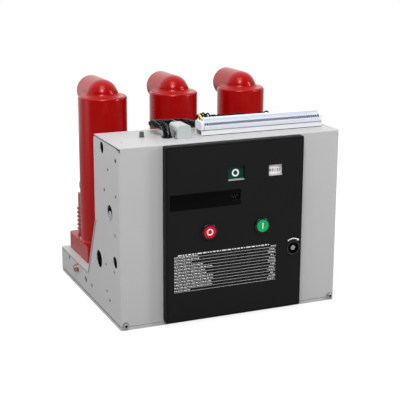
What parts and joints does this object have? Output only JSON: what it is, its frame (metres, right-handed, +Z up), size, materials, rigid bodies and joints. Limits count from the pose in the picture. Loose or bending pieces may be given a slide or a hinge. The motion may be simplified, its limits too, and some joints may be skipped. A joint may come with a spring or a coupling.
{
  "type": "indoor vacuum circuit breaker",
  "caption": "Fixed indoor medium-voltage circuit breaker: red cast resin poles on a shelf behind a grey mechanism box with a black control panel, push buttons and a terminal row.",
  "frame": {"origin": "centre of the base at floor level", "axes": "+X to the right seen from the front, +Y from the front panel to the poles, +Z up"},
  "size_m": [0.6328, 0.547, 0.5735],
  "materials": {
    "grey_paint": "light grey powder coat",
    "red_resin": "glossy cast epoxy resin",
    "black_plastic": "satin moulded plastic",
    "bezel_plastic": "black moulded plastic",
    "white_plastic": "pale moulded polyamide",
    "steel": "bright zinc-plated steel",
    "yellow_zinc": "yellow-passivated zinc plate",
    "zinc_plate": "dull plated steel",
    "copper": "machined copper",
    "green_flag": "printed flag",
    "counter_face": "printed face",
    "red_cap": "moulded cap",
    "green_cap": "moulded cap",
    "connector_grey": "die-cast hood with paint",
    "loom_black": "spiral-wrapped wires"
  },
  "bodies": {
    "frame": {"base_tray": "grey_paint", "left_side_plate": "grey_paint", "right_side_plate": "grey_paint", "left_foot_plate": "grey_paint", "right_foot_plate": "grey_paint", "earth_bolts": "yellow_zinc", "top_cover": "grey_paint", "rear_wall": "grey_paint", "pole_shelf": "grey_paint", "rear_skirt": "grey_paint", "left_mechanism_plate": "zinc_plate", "right_mechanism_plate": "zinc_plate", "main_shaft": "steel", "shaft_collars": "steel", "front_panel": "black_plastic", "indicator_flag": "green_flag", "operation_counter": "counter_face", "spring_flag": "counter_face", "open_button_bezel": "bezel_plastic", "close_button_bezel": "bezel_plastic", "charging_socket": "bezel_plastic", "pole_left": "red_resin", "pole_middle": "red_resin", "pole_right": "red_resin", "upper_terminal_left": "copper", "upper_terminal_middle": "copper", "upper_terminal_right": "copper", "lower_terminal_left": "copper", "lower_terminal_middle": "copper", "lower_terminal_right": "copper", "terminal_rail": "connector_grey", "terminal_blocks": "white_plastic", "end_stops": "white_plastic", "connector_base": "connector_grey", "connector_hood": "connector_grey", "connector_latch": "steel", "loom_grommet": "bezel_plastic", "wiring_loom": "loom_black"},
    "open_button": {"open_button": "red_cap"},
    "close_button": {"close_button": "green_cap"},
    "charging_shaft": {"charging_shaft": "steel"}
  },
  "joints": [
    {"name": "open_press", "type": "slide", "parent": "frame", "child": "open_button", "axis": [0, 1, 0], "range_m": [0, 0.005], "stiffness_N_per_m": 400},
    {"name": "close_press", "type": "slide", "parent": "frame", "child": "close_button", "axis": [0, 1, 0], "range_m": [0, 0.005], "stiffness_N_per_m": 400},
    {"name": "charging_turn", "type": "hinge", "parent": "frame", "child": "charging_shaft", "pos_m": [0.166, -0.2675, 0.17], "axis": [0, 1, 0], "continuous": true}
  ]
}
